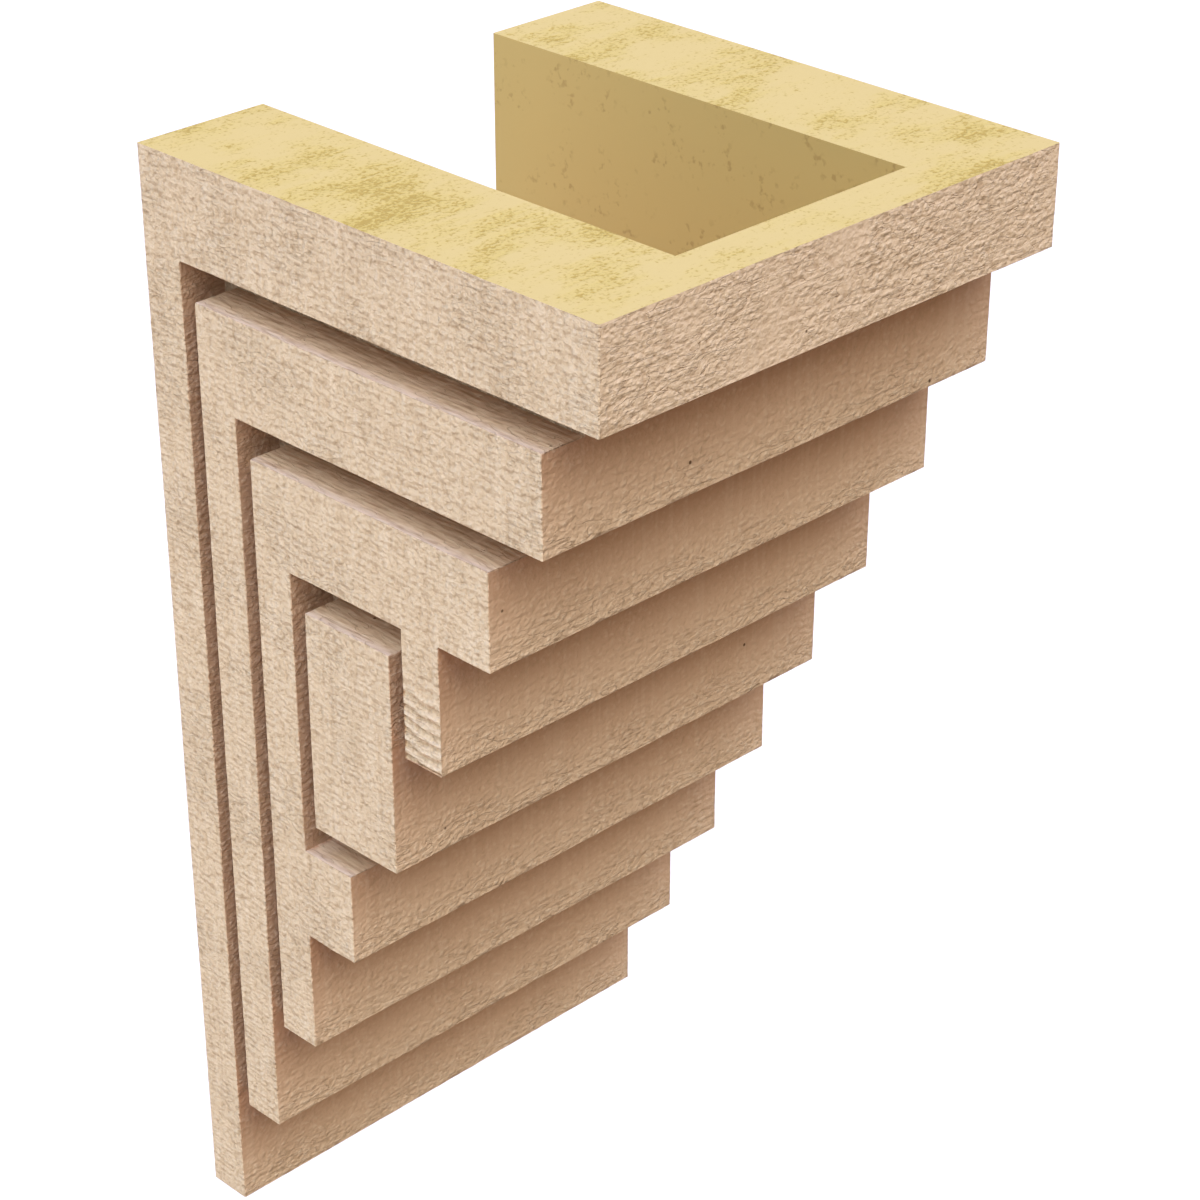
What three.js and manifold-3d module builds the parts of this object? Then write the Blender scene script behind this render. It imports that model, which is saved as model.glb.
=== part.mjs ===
// Urethane corbel, cast in one piece.
//
// The bracket is an inverted staircase: each step stands further back from the front than the one
// above it, so the underside climbs from the wall out to the full projection under the top bar.
// Nested grooves are cut into both sides along the same lines as the steps, so that the sides look
// like bars stacked behind each other. A wedge-shaped pocket, open at the top and at the back,
// makes the casting lighter. Below the pocket the back is solid, and there it meets the wall.
//
// Millimetres, +Z up. X runs across the corbel, the wall is the plane y = 0 and the front looks
// towards -Y. The origin is the middle of the solid foot of the back face.

import * as THREE from 'three';
import { mergeVertices } from 'three/addons/utils/BufferGeometryUtils.js';
import Module from 'manifold-3d';

const wasm = await Module();
wasm.setup();

// Overall size
const WIDTH = 152.4;
const PROJECTION = 152.4;
const HEIGHT = 304.8;

// Steps of the front, counted from the top
const STEP_COUNT = 9;

// Grooves between the bars of the sides, and the steps that run on in line with them
const GROOVE_WIDTH = 4.35;
const GROOVE_HEIGHT = 8.71;
const GROOVE_DEPTH = 13;

// The strips of the side that a groove runs behind, counted from the wall, and the bars that it
// runs under, counted from the top. The outer two grooves run on until they leave the side.
const OUTER_GROOVES = [1, 2];
const RING_START = 3;
const RING_END = 5;

// Pocket: the walls left beside it and in front of it at the top, and how far down it reaches
const SIDE_WALL = 38.1;
const FRONT_WALL = 15;
const POCKET_HEIGHT = 216;

// How far the cutting solids reach past a face that they open
const OVERCUT = 5;

// Colour and finish of the primed casting
const PRIMER_COLOUR = 0xd8bf9f;
const PRIMER_ROUGHNESS = 0.85;

const STRIP_WIDTH = (PROJECTION - (STEP_COUNT - 1) * GROOVE_WIDTH) / STEP_COUNT;
const BAR_HEIGHT = (HEIGHT - (STEP_COUNT - 1) * GROOVE_HEIGHT) / STEP_COUNT;
const STRIP_PITCH = STRIP_WIDTH + GROOVE_WIDTH;
const BAR_PITCH = BAR_HEIGHT + GROOVE_HEIGHT;
const FOOT_HEIGHT = HEIGHT - POCKET_HEIGHT;
const TOP_Z = HEIGHT - FOOT_HEIGHT / 2;

// Places on the side are given as a depth, forward from the wall, and a drop, down from the top.
const stripEdge = (strip) => strip * STRIP_PITCH - GROOVE_WIDTH;
const barEdge = (bar) => bar * BAR_PITCH - GROOVE_HEIGHT;

function sidePoint(depth, drop) {
  return new THREE.Vector2(-depth, TOP_Z - drop);
}

// Extrudes an outline drawn on the side of the corbel, from one x to another.
function acrossWidth(outline, fromX, toX) {
  const geometry = new THREE.ExtrudeGeometry(new THREE.Shape(outline), {
    depth: toX - fromX,
    bevelEnabled: false,
  });
  const outlineToSide = new THREE.Matrix4().makeBasis(
    new THREE.Vector3(0, 1, 0),
    new THREE.Vector3(0, 0, 1),
    new THREE.Vector3(1, 0, 0),
  );
  geometry.applyMatrix4(outlineToSide);
  geometry.translate(fromX, 0, 0);
  return toManifold(geometry);
}

function toManifold(geometry) {
  geometry.deleteAttribute('normal');
  geometry.deleteAttribute('uv');
  const merged = mergeVertices(geometry);
  return new wasm.Manifold(new wasm.Mesh({
    numProp: 3,
    vertProperties: new Float32Array(merged.attributes.position.array),
    triVerts: new Uint32Array(merged.index.array),
  }));
}

function toGeometry(manifold) {
  const mesh = manifold.getMesh();
  const geometry = new THREE.BufferGeometry();
  geometry.setAttribute('position', new THREE.BufferAttribute(mesh.vertProperties, 3));
  geometry.setIndex(new THREE.BufferAttribute(mesh.triVerts, 1));
  geometry.computeVertexNormals();
  return geometry;
}

// The staircase: every step's front face, then the underside that runs back to the next one.
function staircase() {
  const outline = [sidePoint(0, 0)];
  for (let step = 0; step < STEP_COUNT; step += 1) {
    const depth = PROJECTION - step * STRIP_PITCH;
    outline.push(sidePoint(depth, step * BAR_PITCH - (step > 0 ? GROOVE_HEIGHT : 0)));
    outline.push(sidePoint(depth, step * BAR_PITCH + BAR_HEIGHT));
  }
  outline.push(sidePoint(0, HEIGHT));
  return acrossWidth(outline, -WIDTH / 2, WIDTH / 2);
}

// A straight cut of the groove depth into both sides, over a rectangle of depths and drops.
function grooveCuts(depthFrom, depthTo, dropFrom, dropTo) {
  const outline = [
    sidePoint(depthFrom, dropFrom),
    sidePoint(depthTo, dropFrom),
    sidePoint(depthTo, dropTo),
    sidePoint(depthFrom, dropTo),
  ];
  const side = WIDTH / 2;
  return [
    acrossWidth(outline, -side - OVERCUT, -side + GROOVE_DEPTH),
    acrossWidth(outline, side - GROOVE_DEPTH, side + OVERCUT),
  ];
}

// One groove that follows a strip up from below, turns, and runs forward under a bar.
function outerGroove(index) {
  const front = PROJECTION + OVERCUT;
  const bottom = HEIGHT + OVERCUT;
  const depth = stripEdge(index);
  const drop = barEdge(index);
  return [
    ...grooveCuts(depth, depth + GROOVE_WIDTH, drop, bottom),
    ...grooveCuts(depth, front, drop, drop + GROOVE_HEIGHT),
  ];
}

// The groove all round the middle block. Its front and its lower run are cut off by the steps.
function ringGroove(start, end) {
  const back = stripEdge(start);
  const front = stripEdge(end) + GROOVE_WIDTH;
  const top = barEdge(start);
  const bottom = barEdge(end) + GROOVE_HEIGHT;
  return [
    ...grooveCuts(back, back + GROOVE_WIDTH, top, bottom),
    ...grooveCuts(front - GROOVE_WIDTH, front, top, bottom),
    ...grooveCuts(back, front, top, top + GROOVE_HEIGHT),
    ...grooveCuts(back, front, bottom - GROOVE_HEIGHT, bottom),
  ];
}

// The pocket's front wall slopes back towards the wall at the same rate as the steps, so that it
// keeps the same thickness behind every inner corner of the staircase.
function pocket() {
  const slope = STRIP_PITCH / BAR_PITCH;
  const depthAt = (drop) => PROJECTION - FRONT_WALL - drop * slope;
  const outline = [
    sidePoint(-OVERCUT, -OVERCUT),
    sidePoint(depthAt(-OVERCUT), -OVERCUT),
    sidePoint(depthAt(POCKET_HEIGHT), POCKET_HEIGHT),
    sidePoint(-OVERCUT, POCKET_HEIGHT),
  ];
  return acrossWidth(outline, -WIDTH / 2 + SIDE_WALL, WIDTH / 2 - SIDE_WALL);
}

function corbelBody() {
  const cuts = [
    pocket(),
    ...OUTER_GROOVES.flatMap(outerGroove),
    ...ringGroove(RING_START, RING_END),
  ];
  const cast = cuts.reduce((solid, cut) => solid.subtract(cut), staircase());
  const primer = new THREE.MeshStandardMaterial({
    color: PRIMER_COLOUR,
    roughness: PRIMER_ROUGHNESS,
    metalness: 0,
  });
  const mesh = new THREE.Mesh(toGeometry(cast), primer);
  mesh.name = 'corbel_body';
  return mesh;
}

const corbel = new THREE.Group();
corbel.add(corbelBody());

export default corbel;
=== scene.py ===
"""Looks of the urethane corbel: a fine skin with rough-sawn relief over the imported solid.

Metres, +Z up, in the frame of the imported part: the wall is the plane y = 0, the stepped front
looks towards -Y and the grooved sides towards -X and +X.
"""

import functools
import math

import bmesh
import bpy
import numpy as np
from mathutils import Matrix, Vector, noise

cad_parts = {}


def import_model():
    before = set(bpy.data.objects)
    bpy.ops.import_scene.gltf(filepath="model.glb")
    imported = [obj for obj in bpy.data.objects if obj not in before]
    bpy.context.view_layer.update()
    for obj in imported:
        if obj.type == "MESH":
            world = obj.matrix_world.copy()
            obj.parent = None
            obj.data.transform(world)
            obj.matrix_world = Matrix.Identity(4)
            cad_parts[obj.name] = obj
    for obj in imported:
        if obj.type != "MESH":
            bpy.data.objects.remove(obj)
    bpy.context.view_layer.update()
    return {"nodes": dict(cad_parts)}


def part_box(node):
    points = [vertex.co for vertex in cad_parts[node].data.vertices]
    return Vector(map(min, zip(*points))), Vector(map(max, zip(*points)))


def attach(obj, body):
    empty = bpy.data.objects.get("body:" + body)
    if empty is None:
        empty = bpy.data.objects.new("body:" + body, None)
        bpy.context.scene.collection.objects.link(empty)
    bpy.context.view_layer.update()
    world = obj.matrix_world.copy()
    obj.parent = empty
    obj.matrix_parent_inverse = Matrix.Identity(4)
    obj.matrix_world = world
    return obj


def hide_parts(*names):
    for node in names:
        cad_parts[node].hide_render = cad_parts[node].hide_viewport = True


MM = 0.001
NODE = "corbel_body"

# Surfaces of the skin, in the order of its materials
SIDE, FRONT, LEDGE, UNDERSIDE, CUT, POCKET = range(6)

# How exactly places and areas are compared, in metres, and the decimals kept of them
NEAR = 1e-5
WELD = 1e-7
NO_AREA = 1e-12
PLACE_DIGITS = 7
DISTANCE_DIGITS = 5
NORMAL_DIGITS = 3

# The least share of a plane's normal along an axis for it to face along that axis
STRAIGHT = 0.999

# The solid's staircase: the number of its steps and the grooves that part its bars and strips
STEP_COUNT = 9
GROOVE_HEIGHT = 8.71 * MM
GROOVE_WIDTH = 4.35 * MM
GROOVE_DEPTH = 13 * MM

# Skin: the size of its cells, a finer one where the saw left ridges, and the small chamfer on its
# outer edges, which are those that turn by more than the sharp angle
CELL = 1.55 * MM
RIDGE_CELL = 0.62 * MM
EDGE_CHAMFER = 0.35 * MM
SHARP_ANGLE = math.radians(35)

# Relief pressed into the primed faces: long swells, and wrinkles where the surface is torn
SWELL_SIZE = 20 * MM
SWELL_DEPTH = 0.08 * MM
WRINKLE_LENGTH = 5.5 * MM
WRINKLE_HEIGHT = 2.6 * MM
WRINKLE_DEPTH = 0.2 * MM
MEAN_DEPTH = 0.15 * MM

# How torn the surface is, from 0 to 1: in patches, and at least in the grooves and on the top bar
TORN_PATCH = 16 * MM
TORN_MEAN = 0.45
TORN_SWING = 0.9
TORN_IN_GROOVES = 0.6
TORN_ON_TOP_BAR = 0.4

# The lower steps' fronts have fainter patches, but are torn over a share of their height from below
STEP_PATCHES = 0.35
LOWER_EDGE_TORN = 0.75
LOWER_EDGE_HEIGHT = 0.6

# The shares of a side groove's depth that count as inside it
GROOVE_RANGE = (0.01, 1.05)

# Heights on a step's front, in shares of it: where a groove that runs on above it starts to have its
# own painted shade, and where the painted shade that reddens the primer towards the inner corner
# starts and ends
GROOVE_SHADE_START = 1.33
CORNER_START = -0.3
CORNER_END = 1.2

# Ridges that the saw left low on one strip of the left side, counted from the wall, and within one
# bar, counted from the top. Their slope is a rise per length along the projection.
RIDGED_STRIP = 6
RIDGED_BAR = 4
RIDGE_PITCH = 3.4 * MM
RIDGE_DEPTH = 0.7 * MM
RIDGE_SLOPE = -0.06

# The lip of a ridge and its waver as shares of the pitch, and the length over which it wavers
RIDGE_LIP = 0.3
RIDGE_WAVER = 0.35
RIDGE_WAVER_SIZE = 6 * MM

# Heights in the ridged bar, in shares of it: where the ridges end below, and how soon they are full
RIDGE_END = -0.1
RIDGE_FADE = 0.35

# Lumps of the broken surface: the size of the cells between their creases, in grains, how far the
# lumps rise and the creases sink, and the height that keeps both about between 0 and 1
CREASE_CELL = 1.7
LUMP_RISE = 0.7
CREASE_DEPTH = 0.45
LUMP_BASE = 0.36

# Courses of the saw and the faint marks that cross them, in millimetres
COURSE_SIZE = (7.0, 1.2)
MARK_LENGTH = 1.6
MARK_DEPTH = 0.12

# Cracks along the courses where the surface is torn: their width as a share of the courses' range,
# how torn it has to be, and their depth in millimetres
CRACK_WIDTH = 0.02
CRACK_TORN = (0.4, 0.8)
CRACK_DEPTH = 0.2

# How much deeper than usual the fine relief is where the surface is torn, and the height that the
# ridges of the saw add to it, in millimetres
TORN_LIFT = 1.15
RIDGE_BUMP = 0.7

# Bands of the relief in which painted shade darkens the primer's hollows and painted highlight
# lightens its crests: where that starts, where it is complete
LUMP_HOLLOW = (0.46, 0.22)
LUMP_CREST = (0.52, 0.72)
MARK_HOLLOW = (0.32, 0.26)
MARK_CREST = (0.6, 0.7)
RIDGE_HOLLOW = (0.4, 0.05)
RIDGE_CREST = (0.55, 0.8)

# How strong the painted shade and highlight are in them, and the painted shade in the cracks
LUMP_TINT = 0.5
MARK_HOLLOW_TINT = 0.2
MARK_CREST_TINT = 0.5
RIDGE_HOLLOW_TINT = 0.6
RIDGE_CREST_TINT = 0.9
CRACK_TINT = 0.3

# Roughness of the primer in the hollows and on the crests of its lumps, and the band between them
ROUGHNESS = (0.95, 0.85)
ROUGH_BAND = (0.3, 0.7)

# Pinholes in the primer, painted dark as the shade inside them, and the share of the places for one
# that have one
PIN_SPACING = 6 * MM
PIN_RADIUS = 0.6 * MM
PIN_SHARE = 0.06

# Specks of the cut foam, the crowds and streaks that they lie in, and what each adds to the crowding
SPECK_SIZE = (0.9 * MM, 0.8 * MM, 0.8 * MM)
CROWD_SIZE = (26 * MM, 16 * MM, 16 * MM)
STREAK_SIZE = (9 * MM, 2.2 * MM, 2.2 * MM)
CROWD_SHARE = 0.8
STREAK_SHARE = 0.25

# The densest crowd of specks on the cut top, from the middle of the back edge
DENSEST_PLACE = Vector((-58 * MM, -65 * MM, 0))
DENSEST_RADIUS = 30 * MM
DENSEST_SHARE = 0.2

# Bands of the crowding in which the foam yellows, a speck shows, where a speck adds its own noise,
# and the pits of the specks deepen, and how deep they are before and after, in millimetres
WASH_BAND = (0.45, 0.75)
SPECK_BAND = (1.06, 1.34)
SPECK_TINT = 0.95
PIT_BAND = (0.5, 0.75)
SPARSE_PIT = 0.08
CROWDED_PIT = 0.6

# Stains in the pocket, their depth in millimetres, and the groups that they lie in
STAIN_SIZE = 2.7 * MM
STAIN_BAND = (0.54, 0.69)
STAIN_TINT = 0.65
STAIN_PIT = 0.05
GROUP_SIZE = 11 * MM
GROUP_BAND = (0.46, 0.62)

# Reflectance of the primer and of the raw foam, and colours that paint light and shade on the primer
PRIMER = (0.83, 0.64, 0.465)
# Painted shade in the relief's hollows and cracks, and painted highlight on its crests
PRIMER_HOLLOW_SHADE = (0.55, 0.37, 0.23)
PRIMER_CREST_HIGHLIGHT = (0.92, 0.74, 0.57)
# Painted shade deep in the grooves, and painted shade reddening the primer towards the steps' inner
# corners
PRIMER_GROOVE_SHADE = (0.56, 0.375, 0.26)
PRIMER_CORNER_SHADE = (0.67, 0.39, 0.245)
# Painted cool light from above on the outer part of the ledges
PRIMER_LEDGE_SKYLIGHT = (0.80, 0.66, 0.55)
# Painted shade inside the pinholes
PIN_HOLE_SHADE = (0.16, 0.09, 0.05)
CUT_FOAM = (0.618, 0.488, 0.212)
CUT_WASH = (0.61, 0.48, 0.165)
CUT_SPECK = (0.45, 0.32, 0.085)
POCKET_FOAM = (0.617, 0.449, 0.181)
POCKET_STAIN = (0.44, 0.28, 0.105)

# Camera, as fitted to the straight edges of the photograph
FRAME_PIXELS = 1200
SENSOR_WIDTH = 36.0
FOCAL_PIXELS = 3176.0
CENTRE_PIXEL_Y = 708.25
CAMERA_FROM_TOP = Vector((-0.5000, -0.5760, 0.2560))
CAMERA_LOOK = Vector((0.61268, 0.61197, -0.50011))
CAMERA_RIGHT = Vector((0.70679, -0.70743, 0.0002))
CAMERA_CLIP = (0.05, 50)

# Soft lamps: azimuth and elevation in degrees, where 0 is before the steps and 90 is their right,
# then width in degrees and strength in red, green and blue. The glows stand for the light that a
# pale floor sends back up.
LAMPS = {
    "overhead": (0, 90, 50, (0.60, 0.60, 1.37)),
    "left_key": (300, 50, 50, (1.70, 1.74, 1.76)),
    "front": (0, 50, 50, (1.52, 1.31, 0.91)),
    "right": (60, 50, 50, (0.93, 1.06, 1.30)),
    "left_low": (270, 12, 50, (0.42, 0.59, 0.57)),
    "back": (180, 15, 50, (1.00, 1.05, 1.20)),
    "right_low": (110, -12, 50, (2.05, 1.97, 1.82)),
    "glow_left": (225, -35, 60, (1.38, 1.29, 1.29)),
    "glow_front": (315, -35, 60, (0.71, 0.50, 0.39)),
}
WORLD_LIGHT = 0.03

# Floor: half its width, how far it lies below the corbel, and its reflectance
FLOOR_HALF = 6.0
FLOOR_DROP = 0.5
FLOOR_TONE = (0.85, 0.85, 0.85)


@functools.cache
def solid_box():
    """The lowest and highest corners of the solid."""
    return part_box(NODE)


def limited(value):
    """The value itself from 0 to 1, and the nearer of the two beyond them."""
    return min(1.0, max(0.0, value))


def lattice_lines(coordinates, fine):
    """The places where the solid has corners along one axis, with even steps between them.

    The steps are small over the fine stretch of the axis.
    """
    corners = np.unique(np.round(coordinates, PLACE_DIGITS))
    lines = [corners[:1]]
    for low, high in zip(corners[:-1], corners[1:]):
        cell = RIDGE_CELL if fine[0] < (low + high) / 2 < fine[1] else CELL
        count = max(1, round((high - low) / cell))
        lines.append(np.linspace(low, high, count + 1)[1:])
    return np.concatenate(lines)


def flat_groups(mesh):
    """The solid's triangles, grouped by the plane they lie in: {(normal, distance): corner arrays}."""
    groups = {}
    for polygon in mesh.polygons:
        normal = np.round(np.array(polygon.normal), NORMAL_DIGITS) + 0.0
        corners = np.array([mesh.vertices[i].co for i in polygon.vertices])
        distance = round(float(corners.mean(0) @ np.array(polygon.normal)), DISTANCE_DIGITS)
        groups.setdefault((tuple(normal), distance), []).append(corners)
    return groups


def main_axis(normal):
    """The axis that a plane faces along, or None for a sloping plane."""
    axis = int(np.argmax(np.abs(normal)))
    return axis if abs(normal[axis]) > STRAIGHT else None


def covered_cells(triangles, centres_u, centres_v, u, v):
    """Which cells of a plane's lattice have their centre inside one of the triangles."""
    covered = np.zeros((len(centres_u), len(centres_v)), bool)
    for corners in triangles:
        a, b, c = corners[:, [u, v]]
        area = (b[0] - a[0]) * (c[1] - a[1]) - (b[1] - a[1]) * (c[0] - a[0])
        if abs(area) < NO_AREA:
            continue
        i0, i1 = np.searchsorted(centres_u, [corners[:, u].min(), corners[:, u].max()])
        j0, j1 = np.searchsorted(centres_v, [corners[:, v].min(), corners[:, v].max()])
        pu, pv = np.meshgrid(centres_u[i0:i1], centres_v[j0:j1], indexing="ij")
        s = ((pu - a[0]) * (c[1] - a[1]) - (pv - a[1]) * (c[0] - a[0])) / area
        t = ((b[0] - a[0]) * (pv - a[1]) - (b[1] - a[1]) * (pu - a[0])) / area
        covered[i0:i1, j0:j1] |= (s >= 0) & (t >= 0) & (s + t <= 1)
    return covered


def cell_quads(axis, sign, distance, triangles, lines):
    """The lattice quads that cover one axis-aligned plane, as corner points."""
    u, v = [a for a in range(3) if a != axis]
    centres = [(line[1:] + line[:-1]) / 2 for line in lines]
    covered = covered_cells(triangles, centres[u], centres[v], u, v)
    i, j = np.nonzero(covered)
    turn = [(0, 0), (1, 0), (1, 1), (0, 1)]
    # u and v are in X, Y, Z order, so that u x v points along the axis, except for Y
    if (sign > 0) == (axis == 1):
        turn.reverse()
    quads = np.zeros((len(i), 4, 3))
    quads[:, :, axis] = lines[axis][np.argmin(np.abs(lines[axis] - distance * sign))]
    for k, (du, dv) in enumerate(turn):
        quads[:, k, u] = lines[u][i + du]
        quads[:, k, v] = lines[v][j + dv]
    return quads


def outline(triangles):
    """The outer loop of a group of triangles, as points in the triangles' own turning order."""
    following = {}
    for corners in triangles:
        points = [tuple(np.round(p, PLACE_DIGITS)) for p in corners]
        for start, end in zip(points, points[1:] + points[:1]):
            following.setdefault(start, []).append(end)
    edges = {(a, b) for a in following for b in following[a]}
    border = {a: b for a, b in edges if (b, a) not in edges}
    first = next(iter(sorted(border)))
    loop = [first]
    while border[loop[-1]] != first:
        loop.append(border[loop[-1]])
    return loop


def divided(loop, lines):
    """The loop with a point wherever one of its straight edges crosses the lattice."""
    points = []
    for start, end in zip(loop, loop[1:] + loop[:1]):
        a, b = np.array(start), np.array(end)
        points.append(a)
        along = [k for k in range(3) if abs(a[k] - b[k]) > NEAR]
        if len(along) != 1:
            continue
        k = along[0]
        low, high = sorted((a[k], b[k]))
        inner = [x for x in lines[k] if low + NEAR < x < high - NEAR]
        if b[k] < a[k]:
            inner.reverse()
        for x in inner:
            point = a.copy()
            point[k] = x
            points.append(point)
    return np.array(points)


def is_cut(normal, distance, box_high):
    """The back and the top were cut, and show the bare foam."""
    axis = main_axis(normal)
    return axis in (1, 2) and normal[axis] > 0 and distance > box_high[axis] - NEAR


def pocket_half_width(groups):
    """Half the width of the pocket, from its sloping front wall."""
    for (normal, _), triangles in groups.items():
        if main_axis(normal) is None:
            return max(abs(corners[:, 0]).max() for corners in triangles)
    raise ValueError("the solid has no sloping wall")


def in_pocket(triangles, half_width):
    """True for the faces of the pocket: its two side walls and its floor lie within its width."""
    widest = max(abs(corners[:, 0]).max() for corners in triangles)
    return widest < half_width + NEAR


def surface_of(axis, sign):
    """The primed surface that faces along an axis."""
    if axis == 2:
        return LEDGE if sign > 0 else UNDERSIDE
    return SIDE if axis == 0 else FRONT


def skin_faces(node):
    """All faces of the skin as corner points, each with its surface."""
    mesh = node.data
    corners = np.array([v.co for v in mesh.vertices])
    fine = [(0, 0), ridged_strip(), ridged_bar()]
    lines = [lattice_lines(corners[:, k], fine[k]) for k in range(3)]
    groups = flat_groups(mesh)
    pocket_x = pocket_half_width(groups)
    faces = []
    for (normal, distance), triangles in groups.items():
        cut = is_cut(normal, distance, corners.max(0))
        if cut or in_pocket(triangles, pocket_x):
            faces.append((divided(outline(triangles), lines), CUT if cut else POCKET))
            continue
        axis = main_axis(normal)
        sign = 1 if normal[axis] > 0 else -1
        quads = cell_quads(axis, sign, distance, triangles, lines)
        faces.extend((quad, surface_of(axis, sign)) for quad in quads)
    return faces


def flat_skin(node):
    """The skin of the solid as one closed mesh of small cells, still without relief."""
    faces = skin_faces(node)
    sizes = np.array([len(points) for points, _ in faces])
    points = np.concatenate([points for points, _ in faces])
    keys = np.round(points / WELD).astype(np.int64)
    unique, first, index = np.unique(keys, axis=0, return_index=True, return_inverse=True)
    splits = np.split(index.ravel(), np.cumsum(sizes)[:-1])
    mesh = bpy.data.meshes.new("corbel_skin")
    mesh.from_pydata(points[first].tolist(), [], [loop.tolist() for loop in splits])
    surfaces = np.array([surface for _, surface in faces], np.int32)
    mesh.polygons.foreach_set("material_index", surfaces)
    mesh.update()
    return mesh


def chamfer(bm):
    """Breaks the outer edges between primed faces. The cut edges of the raw foam stay sharp."""
    edges = []
    for edge in bm.edges:
        primed = all(face.material_index < CUT for face in edge.link_faces)
        if primed and edge.calc_face_angle_signed() > SHARP_ANGLE:
            edges.append(edge)
    bmesh.ops.bevel(
        bm, geom=edges, offset=EDGE_CHAMFER, segments=1, affect="EDGES", clamp_overlap=False
    )
    bm.normal_update()


@functools.cache
def pitches():
    """How far apart the strips are along the projection and the bars down the height."""
    low, high = solid_box()
    return (high.y - low.y + GROOVE_WIDTH) / STEP_COUNT, (high.z - low.z + GROOVE_HEIGHT) / STEP_COUNT


def bar_at(z):
    """The bar that a height belongs to, counted from 0 at the top. The groove above belongs to it."""
    return min(int((solid_box()[1].z - z + GROOVE_HEIGHT) / pitches()[1]), STEP_COUNT - 1)


def height_in_bar(z, bar):
    """How far up in a bar a height is, from 0 at its lower edge to 1 at its upper edge."""
    height = pitches()[1] - GROOVE_HEIGHT
    return 1 - (solid_box()[1].z - z - bar * pitches()[1]) / height


def step_of_front(point):
    """The step whose front face a point lies in, counted from 0 at the top."""
    return round((point.y - solid_box()[0].y) / pitches()[0])


def groove_share(point, axis, sign):
    """How deep in a side groove a point of a face lies, from 0 outside to 1 at the groove's floor."""
    low, high = solid_box()
    share = (high.x - abs(point.x)) / GROOVE_DEPTH
    if not GROOVE_RANGE[0] <= share <= GROOVE_RANGE[1]:
        return 0.0
    if axis == 0 or sign > 0:
        return share
    # Just off an edge, on the side where the face is
    bar = bar_at(point.z + (MM if axis == 2 else -MM))
    front = high.y - low.y - (bar + (axis == 2)) * pitches()[0]
    if high.y - point.y > front - MM:
        return 0.0
    if axis == 2:
        return share
    # A wall that faces forward runs on below as the front of a step, and gets the groove's painted
    # shade on the way
    return share * limited(height_in_bar(point.z, step_of_front(point)) - GROOVE_SHADE_START)


def corner_share(point, axis, sign):
    """How far towards an inner corner of the steps a point lies, from 0 at the outer edges to 1."""
    if sign > 0 or axis == 0:
        return 0.0
    if axis == 2:
        inward = (point.y - solid_box()[0].y) / pitches()[0] - bar_at(point.z + MM)
        return limited(inward)
    step = step_of_front(point)
    if step == 0:
        return 0.0
    return limited((height_in_bar(point.z, step) - CORNER_START) / (CORNER_END - CORNER_START))


def tear(point, surface, deep):
    """How torn the moulded surface is at a point, from 0 where it is smooth to 1."""
    patch = TORN_MEAN + TORN_SWING * noise.noise(point / TORN_PATCH)
    if deep > 0:
        return limited(TORN_IN_GROOVES + (1 - TORN_IN_GROOVES) * patch)
    if surface != FRONT:
        return limited(patch)
    step = step_of_front(point)
    if step == 0:
        return limited(TORN_ON_TOP_BAR + (1 - TORN_ON_TOP_BAR) * patch)
    lower_edge = max(0.0, 1 - height_in_bar(point.z, step) / LOWER_EDGE_HEIGHT)
    return limited(STEP_PATCHES * patch + LOWER_EDGE_TORN * lower_edge)


def ridged_strip():
    """The y where the strip with the ridges of the saw begins and ends."""
    back = solid_box()[1].y - (RIDGED_STRIP - 1) * pitches()[0]
    return back - pitches()[0] + GROOVE_WIDTH, back


def ridged_bar():
    """The z where the bar with the ridges of the saw begins and ends."""
    top = solid_box()[1].z - (RIDGED_BAR - 1) * pitches()[1]
    return top - pitches()[1] + GROOVE_HEIGHT, top


def saw_ridge(point, surface):
    """How far a point lies below the crests of the saw's ridges, as shares of their depth.

    Also how far it stands out, from 0 in a hollow to 1 on a crest, or 0.5 elsewhere. Each ridge
    stands out most near its lower lip.
    """
    low, high = ridged_strip()
    up = height_in_bar(point.z, RIDGED_BAR - 1)
    if surface != SIDE or point.x > 0 or not low - MM < point.y < high + MM or up < RIDGE_END:
        return 0.0, 0.5
    waver = RIDGE_WAVER * noise.noise(point / RIDGE_WAVER_SIZE)
    share = ((point.z + RIDGE_SLOPE * point.y) / RIDGE_PITCH + waver) % 1
    lip = min(1.0, share / RIDGE_LIP) * min(1.0, (1 - share) / (1 - RIDGE_LIP))
    here = limited((1 - up) / RIDGE_FADE)
    return here * (1 - lip), 0.5 + here * (lip - 0.5)


def relief_depth(point, surface, torn, hollow):
    """How far the relief lies below the flat face of the solid."""
    swell = SWELL_DEPTH * noise.noise(point / SWELL_SIZE)
    if surface in (SIDE, FRONT):
        size = (WRINKLE_LENGTH, WRINKLE_LENGTH, WRINKLE_HEIGHT)
    else:
        size = (WRINKLE_HEIGHT, WRINKLE_LENGTH, WRINKLE_HEIGHT)
    wrinkle = noise.noise(Vector([p / s for p, s in zip(point, size)]))
    depth = MEAN_DEPTH + swell + WRINKLE_DEPTH * torn * wrinkle + RIDGE_DEPTH * hollow
    return max(0.0, depth)


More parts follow.
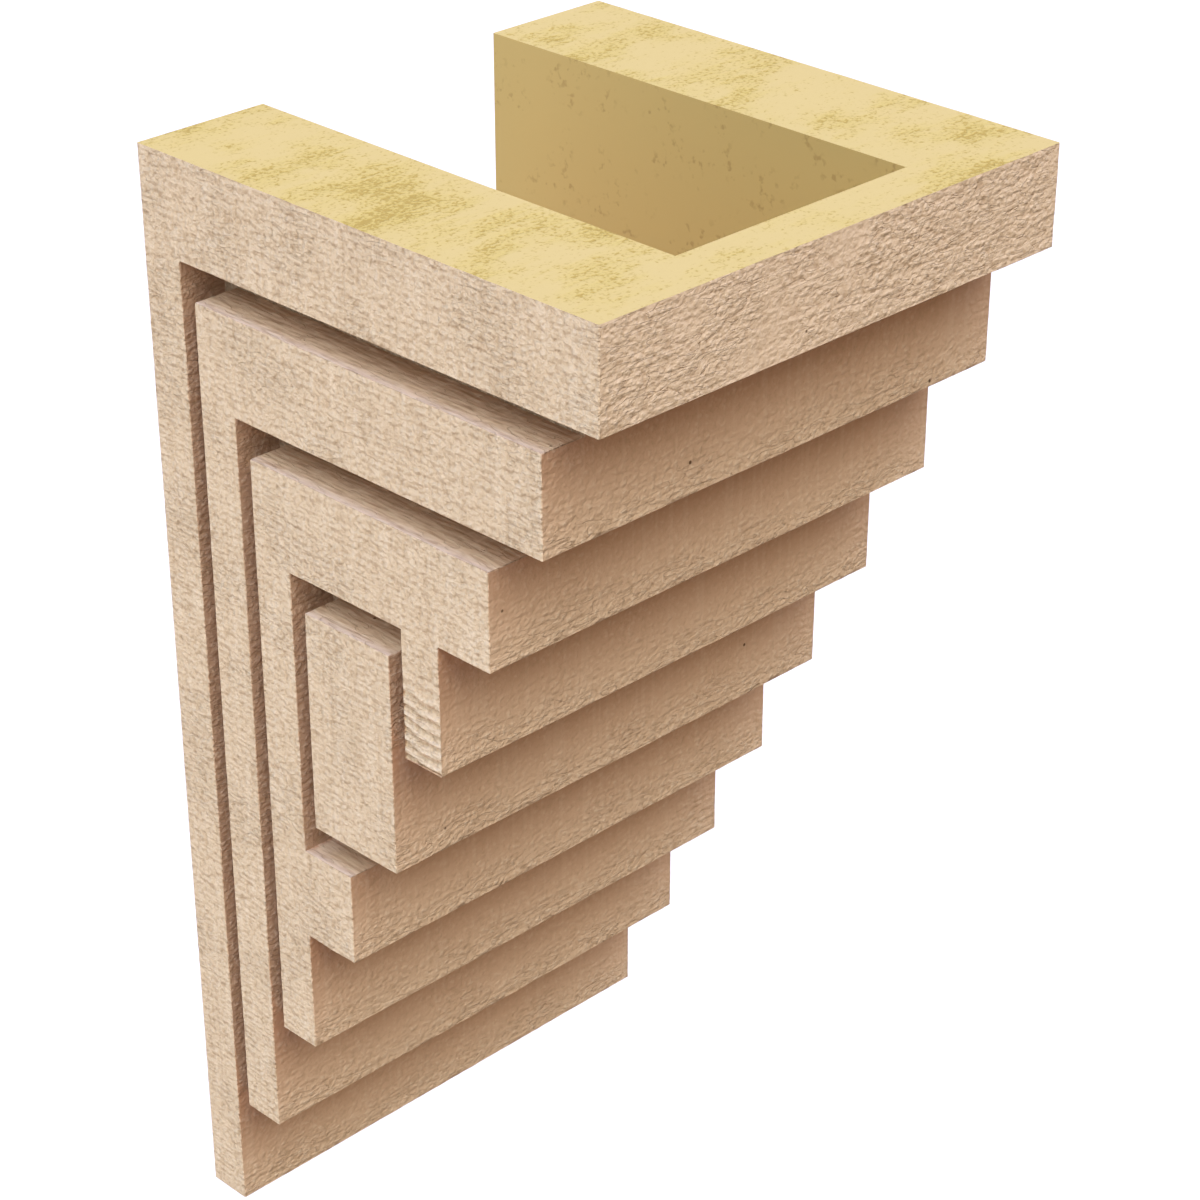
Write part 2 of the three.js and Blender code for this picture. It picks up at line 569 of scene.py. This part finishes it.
def press_relief(bm):
    """Moves every point of the primed faces inward, along the normals of the faces it lies in.

    Four layers tell the materials how torn each point is, how deep it lies in a groove, how near
    it is to an inner corner of the steps, and how far it stands out on the ridges of the saw. The
    materials paint shade from the depth and the nearness to a corner, and shade and highlight from
    the ridges.
    """
    names = ("torn", "deep", "corner", "ridge")
    layers = {name: bm.verts.layers.float.new(name) for name in names}
    for vert in bm.verts:
        facings = set()
        for face in vert.link_faces:
            axis = main_axis(face.normal)
            if face.material_index < CUT and axis is not None:
                facings.add((axis, 1 if face.normal[axis] > 0 else -1))
        point = vert.co.copy()
        for axis, sign in facings:
            surface = surface_of(axis, sign)
            deep = groove_share(point, axis, sign)
            torn = tear(point, surface, deep)
            hollow, ridge = saw_ridge(point, surface)
            vert.co[axis] -= sign * relief_depth(point, surface, torn, hollow)
            values = (torn, deep, corner_share(point, axis, sign), ridge)
            for name, value in zip(names, values):
                vert[layers[name]] = max(vert[layers[name]], value)


def build_skin(node):
    """The finished mesh of the corbel, whose material indices are its surfaces."""
    mesh = flat_skin(node)
    bm = bmesh.new()
    bm.from_mesh(mesh)
    bm.normal_update()
    chamfer(bm)
    press_relief(bm)
    bm.to_mesh(mesh)
    bm.free()
    mesh.shade_smooth()
    mesh.set_sharp_from_angle(angle=SHARP_ANGLE)
    return mesh


class Surface:
    """A material, with short ways to add nodes. Inputs are values or other nodes' outputs."""

    def __init__(self, name):
        self.material = bpy.data.materials.new(name)
        self.material.use_nodes = True
        self.tree = self.material.node_tree
        self.shader = self.tree.nodes["Principled BSDF"]
        self.place = self.add("TexCoord", {}, "Object")

    def add(self, kind, inputs, output=0, **settings):
        node = self.tree.nodes.new("ShaderNode" + kind)
        for key, value in settings.items():
            setattr(node, key, value)
        for key, value in inputs.items():
            self.put(node.inputs[key], value)
        return node.outputs[output]

    def put(self, socket, value):
        if isinstance(value, bpy.types.NodeSocket):
            self.tree.links.new(value, socket)
        else:
            socket.default_value = value

    def math(self, operation, *values):
        return self.add("Math", dict(enumerate(values)), operation=operation)

    def shifted(self, size, shift):
        """The place on the object, in units of a size along each axis."""
        scale = [1 / s for s in size]
        return self.add("Mapping", {"Vector": self.place, "Scale": scale, "Location": (shift,) * 3})

    def attribute(self, name):
        """One of the values that the mesh holds at its points."""
        return self.add("Attribute", {}, "Fac", attribute_name=name)

    def noise(self, size, detail, roughness=0.5, shift=0.0):
        """Noise from 0 to 1 with features of the given size along each axis."""
        inputs = {"Vector": self.shifted(size, shift), "Scale": 1.0}
        return self.add("TexNoise", {**inputs, "Detail": detail, "Roughness": roughness})

    def ramp(self, value, low, high, start=0.0, end=1.0):
        """A smooth rise from start to end as the value goes from low to high."""
        inputs = {"Value": value, "From Min": low, "From Max": high, "To Min": start, "To Max": end}
        return self.add("MapRange", inputs, interpolation_type="SMOOTHSTEP")

    def blend(self, factor, first, second):
        """A colour between two others."""
        colours = [(*c, 1) if isinstance(c, tuple) else c for c in (first, second)]
        inputs = {0: factor, 6: colours[0], 7: colours[1]}
        return self.add("Mix", inputs, 2, data_type="RGBA")

    def tint(self, tone, value, band, strength, colour):
        """The tone, turning towards a colour as the value goes through a band."""
        return self.blend(self.ramp(value, *band, 0, strength), tone, colour)

    def cells(self, size, shift):
        """The distance to the nearest of many scattered points. The node also has its colour."""
        return self.add("TexVoronoi", {"Vector": self.shifted(size, shift), "Scale": 1.0})

    def spots(self, spacing, radius, share, shift):
        """1 inside sparse round spots, softened inwards. Only a share of the places has one."""
        away = self.cells((spacing,) * 3, shift)
        near = self.ramp(away, radius / spacing, 0.5 * radius / spacing)
        colour = self.add("SeparateColor", {0: away.node.outputs["Color"]})
        return self.math("MULTIPLY", near, self.math("LESS_THAN", colour, share))

    def lumps(self, size):
        """Uneven lumps from about 0 to 1, with creases between them."""
        soft = self.noise(size, detail=1, roughness=0.45)
        crease = self.cells([CREASE_CELL * s for s in size], shift=1.7)
        rise = self.math("MULTIPLY_ADD", soft, LUMP_RISE, LUMP_BASE)
        return self.math("MULTIPLY_ADD", crease, -CREASE_DEPTH, rise)

    def bump(self, height):
        """Bump from a height in millimetres."""
        self.put(self.shader.inputs["Normal"], self.add("Bump", {"Height": height, "Distance": MM}))

    def finish(self, colour, roughness, specular):
        """The finished material. The specular level is the same all over."""
        self.put(self.shader.inputs["Base Color"], colour)
        self.put(self.shader.inputs["Roughness"], roughness)
        self.shader.inputs["Specular IOR Level"].default_value = specular
        return self.material


def primer(name, across, grain, course_depth, crossing, calm, brown=(0.0, 0.04), rim=0.0):
    """Matte tan primer over the rough-sawn texture, whose courses run across one axis.

    The grain is given by its length, height and depth, and the saw marks that cross the courses by
    their height and strength. Where the surface isn't torn, the relief has the calm share of its
    depth. What brown and rim mean is told at groove_tone.
    """

    def size(length, height):
        return [MM * (height if axis == across else length) for axis in "xyz"]

    surface = Surface(name)
    length, height, depth = grain
    mark_height, mark_strength = crossing
    torn = surface.attribute("torn")
    ridge = surface.attribute("ridge")
    lump = surface.lumps(size(length, height))
    course = surface.noise(size(*COURSE_SIZE), detail=0, shift=5.0)
    mark = surface.noise(size(MARK_LENGTH, mark_height), detail=0, shift=9.0)
    crack = cracks(surface, course, torn)
    lift = surface.ramp(torn, 0, 1, calm, TORN_LIFT)
    fine = surface.math("MULTIPLY", course, course_depth)
    fine = surface.math("MULTIPLY_ADD", lump, depth, fine)
    relief = surface.math("MULTIPLY", fine, lift)
    relief = surface.math("MULTIPLY_ADD", mark, mark_strength * MARK_DEPTH, relief)
    relief = surface.math("MULTIPLY_ADD", crack, -CRACK_DEPTH, relief)
    relief = surface.math("MULTIPLY_ADD", ridge, RIDGE_BUMP, relief)
    surface.bump(relief)
    # The lumps, saw marks and ridges get painted shade in their hollows and painted highlight on their
    # crests, and the cracks get painted shade
    lump_shading = surface.math("MULTIPLY", lift, LUMP_TINT)
    # Painted shade deep in the grooves and towards the inner corners, and on a ledge painted cool light
    # from above near its outer edge
    tone = groove_tone(surface, brown, rim)
    tone = surface.tint(tone, mark, MARK_CREST, MARK_CREST_TINT * mark_strength, PRIMER_CREST_HIGHLIGHT)
    tone = surface.tint(tone, mark, MARK_HOLLOW, MARK_HOLLOW_TINT * mark_strength, PRIMER_HOLLOW_SHADE)
    tone = surface.tint(tone, lump, LUMP_HOLLOW, lump_shading, PRIMER_HOLLOW_SHADE)
    tone = surface.tint(tone, lump, LUMP_CREST, lump_shading, PRIMER_CREST_HIGHLIGHT)
    tone = surface.blend(surface.math("MULTIPLY", crack, CRACK_TINT), tone, PRIMER_HOLLOW_SHADE)
    tone = surface.tint(tone, ridge, RIDGE_CREST, RIDGE_CREST_TINT, PRIMER_CREST_HIGHLIGHT)
    tone = surface.tint(tone, ridge, RIDGE_HOLLOW, RIDGE_HOLLOW_TINT, PRIMER_HOLLOW_SHADE)
    # Painted shade inside the pinholes
    tone = surface.blend(surface.spots(PIN_SPACING, PIN_RADIUS, PIN_SHARE, shift=2.0), tone, PIN_HOLE_SHADE)
    roughness = surface.ramp(lump, *ROUGH_BAND, *ROUGHNESS)
    return surface.finish(tone, roughness, specular=0.3)


def cracks(surface, course, torn):
    """1 along thin cracks where the surface is torn. They follow the courses' middle value."""
    off_middle = surface.math("ABSOLUTE", surface.math("SUBTRACT", course, 0.5))
    line = surface.ramp(off_middle, CRACK_WIDTH, 0)
    return surface.math("MULTIPLY", line, surface.ramp(torn, *CRACK_TORN))


def groove_tone(surface, brown, rim):
    """The primer's own tan outside, turning brown with painted shade over a range of the grooves' depth.

    Painted shade reddens it towards the inner corners of the steps. A ledge is a little greyer over
    a share of its depth from the outside, painted cool light from above.
    """
    deep = surface.attribute("deep")
    tone = surface.blend(surface.attribute("corner"), PRIMER, PRIMER_CORNER_SHADE)
    if rim:
        tone = surface.blend(surface.ramp(deep, 0, rim), PRIMER_LEDGE_SKYLIGHT, tone)
    return surface.blend(surface.ramp(deep, *brown), tone, PRIMER_GROOVE_SHADE)


def cut_foam():
    """Bare urethane foam where the casting was cut, with crowds of olive specks."""
    surface = Surface("cut_foam")
    crowd = surface.noise(CROWD_SIZE, detail=2, roughness=0.6, shift=3.1)
    streak = surface.noise(STREAK_SIZE, detail=1, shift=4.2)
    speck = surface.noise(SPECK_SIZE, detail=1)
    middle = DENSEST_PLACE + Vector((0, 0, solid_box()[1].z))
    away = surface.add("VectorMath", {0: surface.place, 1: middle}, 1, operation="DISTANCE")
    crowded = surface.ramp(away, DENSEST_RADIUS, 0, 0, DENSEST_SHARE)
    crowded = surface.math("MULTIPLY_ADD", streak, STREAK_SHARE, crowded)
    crowded = surface.math("MULTIPLY_ADD", crowd, CROWD_SHARE, crowded)
    tone = surface.blend(surface.ramp(crowded, *WASH_BAND), CUT_FOAM, CUT_WASH)
    tone = surface.tint(tone, surface.math("ADD", speck, crowded), SPECK_BAND, SPECK_TINT, CUT_SPECK)
    pit = surface.ramp(crowded, *PIT_BAND, -SPARSE_PIT, -CROWDED_PIT)
    surface.bump(surface.math("MULTIPLY", speck, pit))
    return surface.finish(tone, roughness=0.9, specular=0.25)


def pocket_foam():
    """The moulded skin of the foam in the pocket, with small groups of brown stains."""
    surface = Surface("pocket_foam")
    group = surface.noise((GROUP_SIZE,) * 3, detail=1, shift=6.3)
    blotch = surface.noise((STAIN_SIZE,) * 3, detail=2, roughness=0.65, shift=3.0)
    stain = surface.math("MULTIPLY", surface.ramp(blotch, *STAIN_BAND), surface.ramp(group, *GROUP_BAND))
    tone = surface.blend(surface.math("MULTIPLY", stain, STAIN_TINT), POCKET_FOAM, POCKET_STAIN)
    surface.bump(surface.math("MULTIPLY", stain, -STAIN_PIT))
    return surface.finish(tone, roughness=0.8, specular=0.3)


def surface_materials():
    """The skin's materials, in the order of its surfaces. The primer's sizes are in millimetres."""
    return [
        primer("primer_side", "z", (1.05, 0.95, 1.2), 0.7, (14.0, 1.0), 0.95),
        primer("primer_front", "z", (1.15, 1.0, 0.62), 0.24, (60.0, 0.22), 0.4),
        # The ledge gets painted shade over the inner part of its depth and painted cool light from above
        # on its outer part
        primer("primer_ledge", "x", (4.0, 1.0, 0.3), 0.4, (14.0, 0.5), 0.8, brown=(0.4, 1.0), rim=0.3),
        primer("primer_underside", "x", (1.3, 1.0, 0.6), 0.4, (30.0, 0.5), 0.3),
        cut_foam(),
        pocket_foam(),
    ]


def camera():
    """The photograph's view, looking down at the left side and the steps."""
    data = bpy.data.cameras.new("photo_camera")
    data.sensor_width = SENSOR_WIDTH
    data.lens = FOCAL_PIXELS / FRAME_PIXELS * SENSOR_WIDTH
    data.shift_y = (CENTRE_PIXEL_Y - FRAME_PIXELS / 2) / FRAME_PIXELS
    data.clip_start, data.clip_end = CAMERA_CLIP
    cam = bpy.data.objects.new("photo_camera", data)
    bpy.context.scene.collection.objects.link(cam)
    back = -CAMERA_LOOK.normalized()
    right = CAMERA_RIGHT.normalized()
    up = back.cross(right).normalized()
    right = up.cross(back)
    turn = Matrix((right, up, back)).transposed()
    top = solid_box()[1].z
    cam.matrix_world = Matrix.Translation(CAMERA_FROM_TOP + Vector((0, 0, top))) @ turn.to_4x4()
    bpy.context.scene.camera = cam


def lamps():
    """Wide, soft lamps all round the corbel."""
    for name, (azimuth, elevation, width, strength) in LAMPS.items():
        data = bpy.data.lights.new(name, "SUN")
        data.energy = max(strength)
        data.color = [channel / max(strength) for channel in strength]
        data.angle = math.radians(width)
        lamp = bpy.data.objects.new(name, data)
        turn = math.radians(azimuth)
        rise = math.radians(elevation)
        out = math.cos(rise)
        towards = Vector((math.sin(turn) * out, -math.cos(turn) * out, math.sin(rise)))
        lamp.rotation_euler = towards.to_track_quat("Z", "Y").to_euler()
        bpy.context.scene.collection.objects.link(lamp)


def floor():
    """A plain pale floor well below the corbel. Lamps stand for the light that it sends back up."""
    material = bpy.data.materials.new("floor")
    material.use_nodes = True
    shader = material.node_tree.nodes["Principled BSDF"]
    shader.inputs["Base Color"].default_value = (*FLOOR_TONE, 1)
    shader.inputs["Roughness"].default_value = 1.0
    mesh = bpy.data.meshes.new("floor")
    z = solid_box()[0].z - FLOOR_DROP
    turns = [(-1, -1), (1, -1), (1, 1), (-1, 1)]
    corners = [(FLOOR_HALF * x, FLOOR_HALF * y, z) for x, y in turns]
    mesh.from_pydata(corners, [], [(0, 1, 2, 3)])
    plane = bpy.data.objects.new("floor", mesh)
    bpy.context.scene.collection.objects.link(plane)
    plane.data.materials.append(material)
    plane.visible_diffuse = False
    plane.visible_glossy = False
    plane.visible_shadow = False


def world():
    """A dim white surround, the same from all sides."""
    background = bpy.data.worlds.new("studio")
    bpy.context.scene.world = background
    background.use_nodes = True
    background.node_tree.nodes["Background"].inputs["Color"].default_value = (1, 1, 1, 1)
    background.node_tree.nodes["Background"].inputs["Strength"].default_value = WORLD_LIGHT


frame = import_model()
bpy.context.scene.view_settings.view_transform = "Standard"
camera()
world()
lamps()
floor()

skin = bpy.data.objects.new("corbel_skin", build_skin(frame["nodes"][NODE]))
bpy.context.scene.collection.objects.link(skin)
for surface_material in surface_materials():
    skin.data.materials.append(surface_material)
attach(skin, "root")
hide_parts(NODE)
